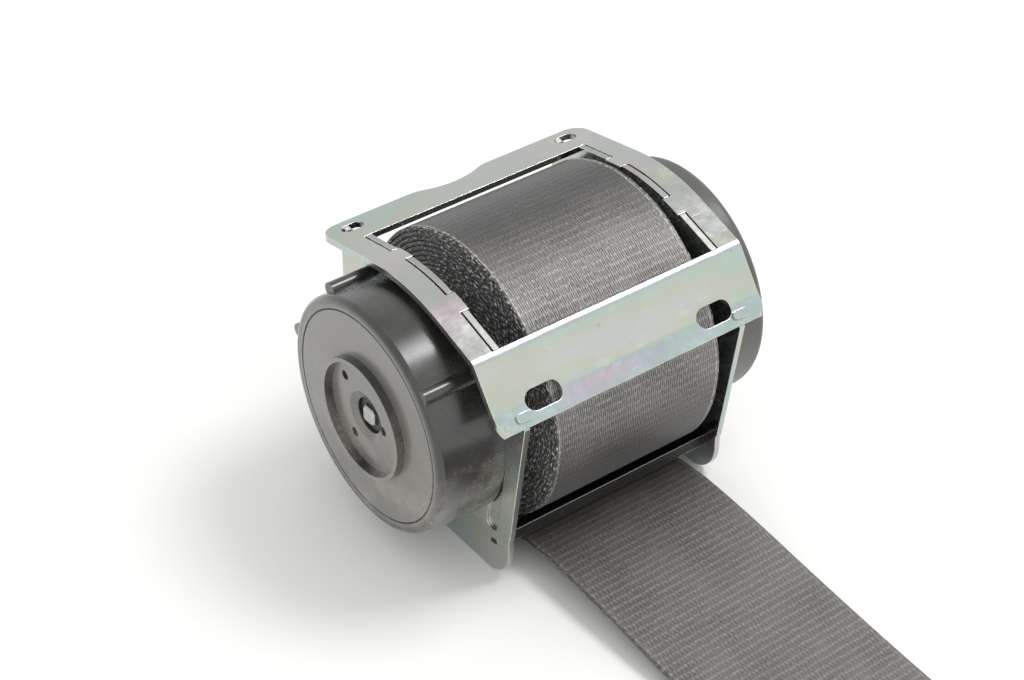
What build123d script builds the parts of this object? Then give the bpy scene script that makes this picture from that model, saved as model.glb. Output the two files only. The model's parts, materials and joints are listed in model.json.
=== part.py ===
"""Seat belt retractor: a sheet steel frame round a spool of webbing, with its spring and its lock.

Millimetres. X runs along the spool axis from the spring side to the lock side, -Y is the side
where the webbing comes out, +Z is up. The origin is under the middle of the retractor, on the
surface that it stands on. In the profiles, u is Y and v is Z, both measured from the spool axis.
"""

import os
from math import cos, radians, sin, sqrt, tan

from build123d import *

os.makedirs("parts", exist_ok=True)

# Webbing
webbing_width = 48.0
webbing_thickness = 1.2
roll_radius = 36.1  # a full roll, about 2.9 m of webbing
roll_wander = 2.0  # how far the roll lies from the middle, towards the lock side
stitched_length = 32.0
loop_gap = 0.05
loop_round = 2.4
arc_share = 0.45  # how much of the shorter run an arc of the free webbing takes up

# Clearances
roll_gap = 0.35
moving_gap = 0.3
running_fit = 0.05
seat_fit = 0.02
notch_fit = 0.15
tenon_fit = 0.05

# Frame
axis_height = 37.9
plates_room = 12.8  # how much wider than the webbing the frame is inside
side_sheet = 1.5
top_sheet = 1.6
top_overhang = 6.3  # how far the top plate reaches past each side plate
tab_root = 0.75  # how deep a side plate's tabs run into its own edge
frame_back = 34.1

# Top plate: each flat is given by the angle of its normal and its distance from the spool axis
crown_distance = 34.05
rear_slope_angle = 78.65
front_slope_angle = 106.7
front_face_angle = 144.3
front_face_length = 12.7
lip_angle = 131.8
lip_length = 5.1
crown_bend = 50.0
sheet_bend = 3.0
plate_corner = 4.5
lip_corner = 3.4
window_length_margin = 1.0
window_lip = 0.4  # how far the tongues of the top plate reach in past the side plates
notch_margin = 0.5
middle_tab_back = 7.1
middle_tab_front = -8.9
tab_spacing = 5.5
rear_slot_step = 0.9  # how far outside the side plates' inner faces the rear slots are centred
rear_slot_inset = 4.1
rear_slot_length = 6.0
rear_slot_width = 3.4
rear_notch_depth = 2.6
rear_notch_radius = 18.6
rear_notch_centre = -0.95
rear_notch_blend = 8.0
front_slot_step = 5.85  # how far inside them the front slots are centred
front_slot_length = 9.9
front_slot_width = 5.0
peened_head_length = 4.6
peened_head_width = 2.2
peened_head_height = 0.6

# Side plates
roof_reach = 20.0
foot_front = -31.6
front_edge_step = -24.4
front_edge_step_depth = 0.4
front_edge_setback = 0.6
foot_corner = 9.0
rear_foot_corner = 7.0
arch_front = -6.7
arch_back = 13.3
arch_height = 5.0
arch_round = 2.0
arch_slope = 2.5
bead_length = 23.3
bead_width = 4.0
bead_depth = 0.7
bead_tilt = 8.7
bead_middle_y = -26.6
bead_middle_z = -13.9

# Tie bars between the side plates
tie_thickness = 2.5
tenon_shoulder = 0.5
front_tie_width = 3.6
front_tie_tilt = 15.0
front_tie_angle = 228.0
front_tie_offset = 2.5
rear_tie_width = 7.0
rear_tie_angle = 318.0
rear_tie_offset = 4.5

# Spool
core_radius = 13.0
core_set_back = 2.5
webbing_slot_width = 3.0
webbing_pin_radius = 2.5
webbing_pin_height = 7.5
shaft_radius = 3.0
shaft_square = 4.3
shaft_square_chamfer = 0.7
shaft_end_depth = 0.4
shaft_end_chamfer = 0.5
journal_radius = 6.0
bush_wall = 3.0
bush_flange = 2.0
bush_flange_thickness = 1.1
head_flange_radius = 15.6
head_hub_thickness = 3.0
hub_set_back = 0.4

# Spring side
cover_radius = 30.4
cover_taper = 0.8
cover_wall = 1.5
spring_cover_depth = 17.1
spring_base_thickness = 2.0
rim_round = 1.3
groove_radius = 26.5
groove_width = 0.5
groove_depth = 0.4
collar_radius = 14.8
collar_crest = 1.0
collar_foot = 15.5
collar_height = 2.0
centre_hole_radius = 4.5
centre_cone_radius = 6.5
centre_cone_depth = 0.9
pip_radius = 1.2
pip_depth = 0.8
pip_places = [(8.1, 7.1), (5.0, -7.7), (-6.9, 0.3)]
lug_radius = 1.9
lug_centre = 30.2
lug_angles = [58.0, 138.5, 8.0]
lug_outer_centres = [30.2, 29.3, 31.6]
lug_starts = [2.0, 0.5, 2.2]
peg_radius = 1.2
peg_length = 3.2
spring_thickness = 0.45
spring_turns = 9
spring_gap = 0.3
arbor_radius = 6.5

# Lock side
lock_cover_radius = 30.3
lock_cover_depth = 14.0
lock_cover_round = 2.0
lock_peg_centre = 28.4
lock_peg_angles = [60.0, 150.0, 330.0]
lock_teeth = 24
tooth_tip_radius = 16.2
tooth_root_radius = 18.3
tooth_tip_width = 2.0
tooth_slope_end = 6.5
tooth_face_angle = 92.5
pawl_pivot_radius = 10.2
pawl_pivot_angle = 160.0
pawl_corners = [
    (0.0, 15.4),
    (-1.4, 14.8),
    (-3.4, 13.4),
    (-11.7, 5.65),
    (-7.4, 1.4),
    (-0.6, 9.6),
    (0.0, 11.0),
]
pawl_thickness = 2.4
pawl_boss_radius = 3.0
pawl_pin_radius = 1.25
pawl_pin_step = 0.7  # how far into the head's flange the pawl's pin reaches
pawl_swing = 11.0
pocket_steps = 4  # how many steps of its swing the pawl's pocket is cut for
pawl_stub = (-4.5, 9.5)
cam_stub_radius = 1.0
disc_lag = 15.0
disc_gap = 0.4
disc_tip_radius = 16.2
disc_root_radius = 14.4
disc_face_angle = -73.1
disc_cup_radius = 13.0
disc_web = 1.8
disc_depth = 6.3
disc_hub_radius = 5.0
ring_inner_radius = 7.0
ring_thickness = 3.0
base_thickness = 1.1
base_inner_radius = 18.7
base_outer_radius = 26.9
base_rivet_centre = 23.6
base_rivet_angles = [20.0, 105.0, 185.0]
rivet_radius = 1.25
rivet_head_radius = 2.2
rivet_head_thickness = 0.8
bearing_boss_radius = 5.5
bearing_length = 4.0

# Vehicle sensor
ball_radius = 3.5
ball_set_out = 6.5  # from the right side plate's outer face to the ball's middle
ball_z = -22.8
cup_slope = 35.0
cup_radius = 4.9
cup_lip = 0.7
cup_gap = 0.15
spigot_radius = 3.0
floor_depth = 3.9
floor_thickness = 1.2
floor_half_width = 5.4
sensor_plate_middle = -2.5
sensor_plate_width = 17.0
sensor_plate_reach = 28.4
lever_pivot_y = -9.0
lever_thickness = 0.9
lever_width = 3.6
lever_nose_y = 3.6
lever_nose_width = 1.2
lever_nose_top = -16.8
lever_pin_radius = 0.75
lever_boss_radius = 1.5
ear_thickness = 1.2
ear_radius = 1.8
ear_foot = 3.0

# End anchor on the free end of the webbing
anchor_thickness = 3.0
anchor_cheek = 8.0  # how far the anchor reaches past each edge of the webbing
anchor_nose_width = 34.0
anchor_length = 47.0
anchor_bar = 8.0
anchor_slot_margin = 1.25
anchor_slot_width = 6.5
anchor_slot_corner = 1.0
joggle_start = 2.0
joggle_run = 5.0
anchor_corner = 12.0
anchor_back_corner = 2.0
anchor_hole_radius = 5.75
anchor_hole_edge = 16.0

# Free webbing: the route of its middle line, as (distance behind the spool axis, height)
tail_route = [
    (-9.6, 2.17),
    (-27.4, 6.95),
    (-50.5, 6.3),
    (-81.0, 3.2),
    (-115.0, 0.95),
    (-152.0, 0.62),
    (-192.0, 0.95),
    (-232.0, 0.62),
    (-270.0, 0.8),
]

# Faces and places that follow from those sizes
plates_inside = webbing_width + plates_room
side_in = plates_inside / 2
side_out = side_in + side_sheet
top_width = 2 * (side_out + top_overhang)
window_width = plates_inside - 2 * window_lip
notch_width = 2 * (side_out + notch_margin)
rear_slot_pitch = 2 * (side_in + rear_slot_step)
front_slot_pitch = 2 * (side_in - front_slot_step)
side_middle = side_in + side_sheet / 2
front_face_distance = roll_radius + roll_gap + top_sheet
spring_face = side_out + spring_cover_depth
lock_face = side_out + lock_cover_depth
tooth_pitch = 360 / lock_teeth


def crossing(angle_a, distance_a, angle_b, distance_b):
    """Where two flats meet, each given by its normal's angle and its distance from the axis."""
    turn = sin(radians(angle_b - angle_a))
    u = (distance_a * sin(radians(angle_b)) - distance_b * sin(radians(angle_a))) / turn
    v = (distance_b * cos(radians(angle_a)) - distance_a * cos(radians(angle_b))) / turn
    return (u, v)


def along(point, angle, length):
    """The point this much further down a flat, towards the front."""
    return (point[0] - length * sin(radians(angle)), point[1] + length * cos(radians(angle)))


def polar(radius, angle):
    """A point at this radius and angle round the spool axis."""
    return (radius * cos(radians(angle)), radius * sin(radians(angle)))


def distance_along(point, angle):
    """How far a point lies from the spool axis in the direction of this angle."""
    return point[0] * cos(radians(angle)) + point[1] * sin(radians(angle))


front_bend = crossing(front_slope_angle, crown_distance, front_face_angle, front_face_distance)
lip_bend = along(front_bend, front_face_angle, front_face_length)
lip_edge = along(lip_bend, lip_angle, lip_length)
lip_middle = along(lip_bend, lip_angle, lip_length / 2)
lip_distance = distance_along(lip_bend, lip_angle)

# The origin lies under the middle of everything but the free webbing
axis_x = (spring_face + collar_height - lock_face) / 2
axis_y = -(lip_edge[0] + max(roll_radius, frame_back)) / 2
axis_z = axis_height
spool_axis = Axis((axis_x, axis_y, axis_z), (1, 0, 0))
lengthwise = Plane(origin=(axis_x, axis_y, axis_z), x_dir=(1, 0, 0), z_dir=(0, -1, 0))


def across(x):
    """The plane square to the spool axis, at x from the middle of the frame."""
    return Plane(origin=(axis_x + x, axis_y, axis_z), x_dir=(0, 1, 0), z_dir=(1, 0, 0))


def facing(point, angle):
    """The plane through a profile point whose normal has this angle, with its x along X."""
    origin = (axis_x, axis_y + point[0], axis_z + point[1])
    return Plane(origin=origin, x_dir=(1, 0, 0), z_dir=(0, cos(radians(angle)), sin(radians(angle))))


def from_above(height):
    """The plane that looks down on the spool axis from this height over it."""
    return Plane(origin=(axis_x, axis_y, axis_z + height))


def slab(x_start, x_end, outline, mode=Mode.ADD):
    """An outline in u and v, as thick as the two places along X are apart."""
    with BuildSketch(across(x_start)) as face:
        add(outline)
    extrude(face.sketch, amount=x_end - x_start, mode=mode)


def slug(x_start, x_end, radius, centre=(0, 0), mode=Mode.ADD):
    """A round slug along X."""
    with BuildSketch() as face:
        with Locations(centre):
            Circle(radius)
    slab(x_start, x_end, face.sketch, mode)


def turned(points, mode=Mode.ADD):
    """A closed outline of (x, radius) points turned about the spool axis."""
    with BuildSketch(lengthwise) as face:
        with BuildLine():
            Polyline(*points, close=True)
        make_face()
    revolve(face.sketch, axis=spool_axis, mode=mode)


def outline(points):
    """A closed outline of straight lines, as a sketch in u and v."""
    with BuildSketch() as face:
        with BuildLine():
            Polyline(*points, close=True)
        make_face()
    return face.sketch


def save(part, name):
    """Labels a finished piece and writes it."""
    part.label = name
    export_step(part, f"parts/{name}.step")


# Top plate: its profile at a depth under the outer surface, with ends that reach further


def roof_corners(depth, reach=0.0):
    """The five corners of the top plate's profile."""
    back = frame_back + reach
    slope = radians(rear_slope_angle)
    crown_depth = crown_distance - depth
    face_depth = front_face_distance - depth
    end = along(lip_edge, lip_angle, reach)
    return [
        (back, (crown_depth - back * cos(slope)) / sin(slope)),
        crossing(rear_slope_angle, crown_depth, front_slope_angle, crown_depth),
        crossing(front_slope_angle, crown_depth, front_face_angle, face_depth),
        crossing(front_face_angle, face_depth, lip_angle, lip_distance - depth),
        (end[0] - depth * cos(radians(lip_angle)), end[1] - depth * sin(radians(lip_angle))),
    ]


def roof_line(depth, reach=0.0):
    """The same profile drawn with its bends."""
    bends = [crown_bend - depth, sheet_bend - depth, sheet_bend + depth]
    FilletPolyline(*roof_corners(depth, reach), radius=bends)


def roof_band(depth):
    """The profile of a sheet of this thickness under the outer surface."""
    outer, inner = roof_corners(0), roof_corners(depth)
    with BuildSketch() as band:
        with BuildLine():
            roof_line(0)
            roof_line(depth)
            Line(outer[0], inner[0])
            Line(outer[-1], inner[-1])
        make_face()
    return band.sketch


def window_end(slope_angle, side):
    """Where a slope may start again, clear of the roll; side is 1 behind and -1 in front."""
    depth = crown_distance - top_sheet
    reach = sqrt((roll_radius + roll_gap) ** 2 - depth**2)
    clear = depth * cos(radians(slope_angle)) + side * reach * sin(radians(slope_angle))
    return clear + side * window_length_margin


window_back = window_end(rear_slope_angle, 1)
window_front = window_end(front_slope_angle, -1)
tab_spans = [
    (middle_tab_back + tab_spacing, window_back),
    (middle_tab_front, middle_tab_back),
    (window_front, middle_tab_front - tab_spacing),
]
lip_slot_length = peened_head_width - 2 * notch_fit

with BuildPart() as top_plate:
    slab(-top_width / 2, top_width / 2, roof_band(top_sheet))
    plate_depth = frame_back - lip_edge[0]
    with BuildSketch(from_above(crown_distance + top_sheet)) as plan:
        with Locations((0, frame_back - plate_depth / 2)):
            Rectangle(top_width, plate_depth)
        with Locations((rear_notch_centre, frame_back - rear_notch_depth + rear_notch_radius)):
            Circle(rear_notch_radius, mode=Mode.SUBTRACT)
        rear_points = plan.vertices().group_by(Axis.Y)[-1].sort_by(Axis.X)
        fillet(rear_points[1:3], rear_notch_blend)
        fillet(plan.vertices().group_by(Axis.Y)[-1].sort_by(Axis.X)[0::3], plate_corner)
        fillet(plan.vertices().group_by(Axis.Y)[0], lip_corner)
    extrude(plan.sketch, amount=-3 * crown_distance, mode=Mode.INTERSECT)
    with BuildSketch(from_above(crown_distance + top_sheet)) as cut_outs:
        with Locations((0, (window_back + window_front) / 2)):
            Rectangle(window_width, window_back - window_front)
        for front, back in tab_spans:
            with Locations((0, (front + back) / 2)):
                Rectangle(notch_width, back - front)
        with Locations((-rear_slot_pitch / 2, frame_back - rear_slot_inset)):
            SlotOverall(rear_slot_length, rear_slot_width)
        with Locations((rear_slot_pitch / 2, frame_back - rear_slot_inset)):
            SlotOverall(rear_slot_length, rear_slot_width)
    extrude(cut_outs.sketch, amount=-crown_distance, mode=Mode.SUBTRACT)
    with BuildSketch(facing(lip_bend, (front_face_angle + lip_angle) / 2)) as front_slots:
        with GridLocations(front_slot_pitch, 0, 2, 1):
            SlotOverall(front_slot_length, front_slot_width)
    extrude(front_slots.sketch, amount=2 * top_sheet, both=True, mode=Mode.SUBTRACT)
    with BuildSketch(facing(lip_middle, lip_angle)) as lip_slots:
        with GridLocations(2 * side_middle, 0, 2, 1):
            Rectangle(side_sheet + 2 * notch_fit, lip_slot_length + 2 * notch_fit)
    extrude(lip_slots.sketch, amount=2 * top_sheet, both=True, mode=Mode.SUBTRACT)
save(top_plate.part, "top_plate")


# Side plates: one outline, with tabs that fill the notches of the top plate


def tie_section(width, thickness, tilt, angle, distance, grow=0.0):
    """The section of a tie bar at this angle round the axis and this far outside the roll."""
    with BuildSketch() as section:
        with Locations(polar(roll_radius + distance, angle)):
            Rectangle(width + 2 * grow, thickness + 2 * grow, rotation=tilt)
    return section.sketch


def front_tie(shrink, grow=0.0):
    """The front tie bar's section, smaller by twice the shoulder where it is a tenon."""
    width, thickness = front_tie_width - 2 * shrink, tie_thickness - 2 * shrink
    return tie_section(width, thickness, -front_tie_tilt, front_tie_angle, front_tie_offset, grow)


def rear_tie(shrink, grow=0.0):
    """The rear tie bar's section, which lies square to its radius."""
    width, thickness = rear_tie_width - 2 * shrink, tie_thickness - 2 * shrink
    return tie_section(width, thickness, rear_tie_angle + 90, rear_tie_angle, rear_tie_offset, grow)


with BuildSketch() as above_roof:
    with BuildLine():
        under = roof_corners(top_sheet + seat_fit, roof_reach)
        roof_line(top_sheet + seat_fit, roof_reach)
        Polyline(under[-1], (under[-1][0], 2 * axis_height), (under[0][0], 2 * axis_height), under[0])
    make_face()

with BuildSketch() as tabs:
    for front, back in tab_spans:
        with Locations(((front + back) / 2, crown_distance)):
            Rectangle(back - front - 2 * notch_fit, crown_distance)
    add(roof_band(top_sheet + tab_root), mode=Mode.INTERSECT)

with BuildSketch() as side_outline:
    edge_top = (lip_edge[0] + front_edge_setback, lip_edge[1])
    edge_foot = (foot_front - front_edge_step_depth, front_edge_step)
    lean = (edge_foot[0] - edge_top[0]) / (edge_top[1] - edge_foot[1])
    with BuildLine():
        Polyline(
            (edge_top[0] - lean * axis_height, edge_top[1] + axis_height),
            edge_foot,
            (foot_front, front_edge_step - front_edge_step_depth),
            (foot_front, -axis_height),
            (arch_front, -axis_height),
            (arch_front + arch_slope, arch_height - axis_height),
            (arch_back - arch_slope, arch_height - axis_height),
            (arch_back, -axis_height),
            (frame_back, -axis_height),
            (frame_back, axis_height),
            close=True,
        )
    make_face()
    fillet(side_outline.vertices().group_by(Axis.Y)[1], arch_round)
    fillet(side_outline.vertices().group_by(Axis.Y)[0].sort_by(Axis.X)[-1], rear_foot_corner)
    fillet(side_outline.vertices().group_by(Axis.Y)[0].sort_by(Axis.X)[0], foot_corner)
    add(above_roof.sketch, mode=Mode.SUBTRACT)
    add(tabs.sketch)


def side_plate(side, x_start, x_end):
    """The blank of a side plate with its peened lip tab and the tie bars' holes; side is -1 or 1."""
    slab(x_start, x_end, side_outline.sketch)
    slab(x_start, x_end, front_tie(tenon_shoulder, tenon_fit), Mode.SUBTRACT)
    slab(x_start, x_end, rear_tie(tenon_shoulder, tenon_fit), Mode.SUBTRACT)
    with BuildSketch(facing(lip_middle, lip_angle)) as tab:
        with Locations((side * side_middle, 0)):
            Rectangle(side_sheet, lip_slot_length)
    extrude(tab.sketch, amount=-2 * top_sheet)
    with BuildSketch(facing(lip_middle, lip_angle)) as head:
        with Locations((side * side_middle, 0)):
            SlotOverall(peened_head_length, peened_head_width)
    extrude(head.sketch, amount=peened_head_height)


def peg_places(radius, angles):
    """The centres of the pegs that hold a cover."""
    return [polar(radius, angle) for angle in angles]


def tooth_corners(face_angle, valley, tip, way):
    """The corners of a ring of saw teeth: each has a radial face, a short tip and a slope."""
    corners = [(valley, 0), (tip, 0), (tip, tooth_tip_width), (valley, tooth_slope_end)]
    points = []
    for tooth in range(lock_teeth):
        start = face_angle + way * tooth * tooth_pitch
        points += [polar(radius, start + way * turn) for radius, turn in corners]
    return points


spring_pegs = peg_places(lug_centre, lug_angles)
lock_pegs = peg_places(lock_peg_centre, lock_peg_angles)
base_rivet_places = peg_places(base_rivet_centre, base_rivet_angles)
bush_radius = journal_radius + running_fit + bush_wall

with BuildPart() as left_side_plate:
    side_plate(-1, -side_out, -side_in)
    slug(-side_out, -side_in, bush_radius + seat_fit, mode=Mode.SUBTRACT)
    for place in spring_pegs:
        slug(-side_out, -side_in, peg_radius + running_fit, place, Mode.SUBTRACT)
    with BuildSketch() as bead:
        with Locations((bead_middle_y, bead_middle_z)):
            SlotOverall(bead_length, bead_width, rotation=90 + bead_tilt)
    slab(-side_out, -side_out + bead_depth, bead.sketch, Mode.SUBTRACT)
save(left_side_plate.part, "left_side_plate")

with BuildPart() as right_side_plate:
    side_plate(1, side_in, side_out)
    teeth = outline(tooth_corners(tooth_face_angle, tooth_root_radius, tooth_tip_radius, -1))
    slab(side_in, side_out, teeth, Mode.SUBTRACT)
    for place in lock_pegs:
        slug(side_in, side_out, peg_radius + running_fit, place, Mode.SUBTRACT)
    for place in base_rivet_places:
        slug(side_in, side_out, rivet_radius + seat_fit, place, Mode.SUBTRACT)
save(right_side_plate.part, "right_side_plate")

# Tie bars, each with a tenon peened over outside the side plates
for name, section in (("front_tie_bar", front_tie), ("rear_tie_bar", rear_tie)):
    with BuildPart() as tie_bar:
        slab(-side_in + seat_fit, side_in - seat_fit, section(0))
        slab(-side_out, side_out, section(tenon_shoulder))
    save(tie_bar.part, name)

# Spool: a core on a torsion shaft, with the webbing's inner end pinned in its slot
core_end = side_in - core_set_back
roll_start = roll_wander - webbing_width / 2
roll_end = roll_start + webbing_width
journal_end = side_out + spring_base_thickness + moving_gap

with BuildPart() as spool_core:
    slug(-core_end, core_end, core_radius)
    slug(-journal_end, -core_end, journal_radius)
    slug(-journal_end, core_end, shaft_radius + seat_fit, mode=Mode.SUBTRACT)
    slug(-core_end, core_end, webbing_pin_radius + running_fit, (0, webbing_pin_height), Mode.SUBTRACT)
    with BuildSketch() as slit:
        with Locations((0, (webbing_pin_height + core_radius) / 2)):
            Rectangle(webbing_slot_width, core_radius - webbing_pin_height + webbing_slot_width)
    slab(-core_end, core_end, slit.sketch, Mode.SUBTRACT)
save(spool_core.part, "spool_core")

with BuildPart() as webbing_pin:
    slug(roll_start, roll_end, webbing_pin_radius, (0, webbing_pin_height))
save(webbing_pin.part, "webbing_pin")

with BuildPart() as webbing_roll:
    slug(roll_start, roll_end, roll_radius)
    slug(roll_start, roll_end, core_radius + seat_fit, mode=Mode.SUBTRACT)
save(webbing_roll.part, "webbing_roll")

shaft_lock_end = lock_face - cover_wall - moving_gap

with BuildPart() as spool_shaft:
    slug(-journal_end, shaft_lock_end, shaft_radius)
    with BuildSketch() as square:
        Rectangle(shaft_square, shaft_square)
        chamfer(square.vertices(), shaft_square_chamfer)
    slab(-spring_face + shaft_end_depth, -journal_end, square.sketch)
    chamfer(spool_shaft.edges().group_by(Axis.X)[0], shaft_end_chamfer)
save(spool_shaft.part, "spool_shaft")

with BuildPart() as left_bush:
    bore = journal_radius + running_fit
    flange_face = side_in - seat_fit
    turned(
        [
            (-side_out - spring_base_thickness, bore),
            (-side_out - spring_base_thickness, bush_radius),
            (-flange_face, bush_radius),
            (-flange_face, bush_radius + bush_flange),
            (-flange_face + bush_flange_thickness, bush_radius + bush_flange),
            (-flange_face + bush_flange_thickness, bore),
        ]
    )
save(left_bush.part, "left_bush")

# Spring side: base, spring, arbor and cover
with BuildPart() as spring_base:
    base_rim = cover_radius - cover_wall - seat_fit
    slug(-side_out - spring_base_thickness, -side_out - seat_fit, base_rim)
    slug(-side_out - spring_base_thickness, -side_out, bush_radius + seat_fit, mode=Mode.SUBTRACT)
    for place in spring_pegs:
        slug(-side_out - spring_base_thickness, -side_out, lug_radius + seat_fit, place, Mode.SUBTRACT)
save(spring_base.part, "spring_base")

spring_inside = spring_face - cover_wall
arbor_start = journal_end + seat_fit
arbor_end = spring_inside - moving_gap

with BuildPart() as spring_arbor:
    slug(-arbor_end, -arbor_start, arbor_radius)
    with BuildSketch() as arbor_square:
        Rectangle(shaft_square + 2 * seat_fit, shaft_square + 2 * seat_fit)
    slab(-arbor_end, -arbor_start, arbor_square.sketch, Mode.SUBTRACT)
save(spring_arbor.part, "spring_arbor")


spring_start = cover_radius - cover_taper - cover_wall - spring_gap - spring_thickness
spring_end = arbor_radius + spring_gap + spring_thickness
spring_step = (spring_start - spring_end) / (2 * spring_turns)


def spiral_edge(shift):
    """One edge of the wound spring: half circles whose centres alternate, each a little smaller."""
    for half in range(2 * spring_turns):
        middle = (-(half % 2) * spring_step, 0)
        CenterArc(middle, spring_start - half * spring_step + shift, 180 * half, 180)


with BuildPart() as mainspring:
    with BuildSketch() as wound:
        with BuildLine():
            spiral_edge(spring_thickness / 2)
            spiral_edge(-spring_thickness / 2)
            for end in (spring_start, spring_end):
                Line((end + spring_thickness / 2, 0), (end - spring_thickness / 2, 0))
        make_face()
    slab(-arbor_end + moving_gap, -journal_end - moving_gap, wound.sketch)
save(mainspring.part, "mainspring")

with BuildPart() as spring_cover:
    turned(
        [
            (-spring_face, 0),
            (-spring_face, cover_radius - cover_taper),
            (-side_out - seat_fit, cover_radius),
            (-side_out - seat_fit, 0),
        ]
    )
    fillet(spring_cover.edges().group_by(Axis.X)[0], rim_round)
    for angle, centre, depth in zip(lug_angles, lug_outer_centres, lug_starts):
        slug(-spring_face + depth, -side_out - seat_fit, lug_radius, polar(centre, angle))
    turned(
        [
            (-spring_inside, 0),
            (-spring_inside, cover_radius - cover_taper - cover_wall),
            (-side_out - spring_base_thickness - seat_fit, cover_radius - cover_wall),
            (-side_out, cover_radius - cover_wall),
            (-side_out, 0),
        ],
        Mode.SUBTRACT,
    )
    for place in spring_pegs:
        slug(-side_out - spring_base_thickness - seat_fit, -side_out - seat_fit, lug_radius, place)
        slug(-side_out - seat_fit, -side_out + peg_length, peg_radius, place)
    # Raised collar round the shaft's end, thin at its crest
    turned(
        [
            (-spring_face, collar_foot),
            (-spring_face - collar_height, collar_radius + collar_crest / 2),
            (-spring_face - collar_height, collar_radius - collar_crest / 2),
            (-spring_face, collar_radius - collar_crest),
        ]
    )
    # Thin groove round the face
    turned(
        [
            (-spring_face, groove_radius - groove_width / 2),
            (-spring_face, groove_radius + groove_width / 2),
            (-spring_face + groove_depth, groove_radius),
        ],
        Mode.SUBTRACT,
    )
    # Hole for the shaft's end, with a cone at its mouth, and three small blind holes
    turned(
        [
            (-spring_face, 0),
            (-spring_face, centre_cone_radius),
            (-spring_face + centre_cone_depth, centre_hole_radius),
            (-spring_inside, centre_hole_radius),
            (-spring_inside, 0),
        ],
        Mode.SUBTRACT,
    )
    for place in pip_places:
        slug(-spring_face, -spring_face + pip_depth, pip_radius, place, Mode.SUBTRACT)
save(spring_cover.part, "spring_cover")

# Lock side: head, pawl, control disc, sensor and cover
pawl_pivot = polar(pawl_pivot_radius, pawl_pivot_angle)
head_start = core_end + seat_fit
pawl_pin_start = core_end + pawl_pin_step
hub_start = side_in - hub_set_back
hub_end = hub_start + head_hub_thickness
disc_start = hub_end + disc_gap


def pawl_outline(grow=0.0):
    """The pawl about its own pivot, before it swings; its nose points outwards."""
    with BuildSketch() as shape:
        with BuildLine():
            Polyline(*[(u - pawl_pivot[0], v - pawl_pivot[1]) for u, v in pawl_corners], close=True)
        make_face()
        Circle(pawl_boss_radius)
        if grow:
            offset(amount=grow)
    return shape.sketch


def swung(shape, angle):
    """A shape drawn about the pawl's pivot, set in its place and swung by this angle."""
    with BuildSketch() as placed:
        with Locations(Location((*pawl_pivot, 0), (0, 0, angle))):
            add(shape)
    return placed.sketch


with BuildPart() as spool_head:
    slug(head_start, hub_start, head_flange_radius)
    slug(hub_start, hub_end, head_flange_radius)
    for step in range(pocket_steps + 1):
        room = swung(pawl_outline(moving_gap), step * pawl_swing / pocket_steps)
        slab(hub_start, hub_end, room, Mode.SUBTRACT)
    slug(head_start, hub_end, shaft_radius + seat_fit, mode=Mode.SUBTRACT)
    slug(pawl_pin_start, hub_end, pawl_pin_radius + seat_fit, pawl_pivot, Mode.SUBTRACT)
save(spool_head.part, "spool_head")

with BuildPart() as pawl_pin:
    slug(pawl_pin_start + seat_fit, hub_end, pawl_pin_radius, pawl_pivot)
save(pawl_pin.part, "pawl_pin")

pawl_start = hub_start + moving_gap
cam_stub = (pawl_stub[0] - pawl_pivot[0], pawl_stub[1] - pawl_pivot[1])

with BuildPart() as lock_pawl:
    slab(pawl_start, pawl_start + pawl_thickness, swung(pawl_outline(), 0))
    slug(pawl_start, disc_start + disc_web - moving_gap, cam_stub_radius, pawl_stub)
    slug(pawl_start, pawl_start + pawl_thickness, pawl_pin_radius + running_fit, pawl_pivot, Mode.SUBTRACT)
save(lock_pawl.part, "lock_pawl")


def stub_in_disc(share):
    """Where the pawl's stub lies on the control disc when the disc lags by this share."""
    swing = radians(share * pawl_swing)
    u = pawl_pivot[0] + cam_stub[0] * cos(swing) - cam_stub[1] * sin(swing)
    v = pawl_pivot[1] + cam_stub[0] * sin(swing) + cam_stub[1] * cos(swing)
    back = radians(-share * disc_lag)
    return (u * cos(back) - v * sin(back), u * sin(back) + v * cos(back))


with BuildPart() as control_disc:
    rim = outline(tooth_corners(disc_face_angle, disc_root_radius, disc_tip_radius, 1))
    slab(disc_start, disc_start + disc_depth, rim)
    slug(disc_start + disc_web, disc_start + disc_depth, disc_cup_radius, mode=Mode.SUBTRACT)
    slug(disc_start, disc_start + disc_depth, disc_hub_radius)
    slug(disc_start, disc_start + disc_depth, shaft_radius + running_fit, mode=Mode.SUBTRACT)
    stub_room = cam_stub_radius + moving_gap
    with BuildSketch() as cam_slot:
        with BuildLine() as cam_line:
            ThreePointArc(stub_in_disc(0), stub_in_disc(0.5), stub_in_disc(1))
        trace(cam_line.line, line_width=2 * stub_room)
        for share in (0, 1):
            with Locations(stub_in_disc(share)):
                Circle(stub_room)
    slab(disc_start, disc_start + disc_web, cam_slot.sketch, Mode.SUBTRACT)
save(control_disc.part, "control_disc")

with BuildPart() as inertia_ring:
    ring_start = disc_start + disc_web + seat_fit
    slug(ring_start, ring_start + ring_thickness, disc_cup_radius - seat_fit)
    slug(ring_start, ring_start + ring_thickness, ring_inner_radius, mode=Mode.SUBTRACT)
save(inertia_ring.part, "inertia_ring")

base_start = side_out + seat_fit
base_end = side_out + base_thickness
ball_x = side_out + ball_set_out
cup_seat = ball_z - ball_radius * cos(radians(cup_slope))
contact_radius = ball_radius * sin(radians(cup_slope))
floor_top = ball_z - floor_depth
lever_pivot = (lever_pivot_y, ball_z + ball_radius + moving_gap + lever_thickness / 2)
lever_start = ball_x - lever_width / 2
lever_end = lever_start + lever_width
ear_starts = (lever_start - moving_gap - ear_thickness, lever_end + moving_gap)
pin_end = ear_starts[1] + ear_thickness

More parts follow.
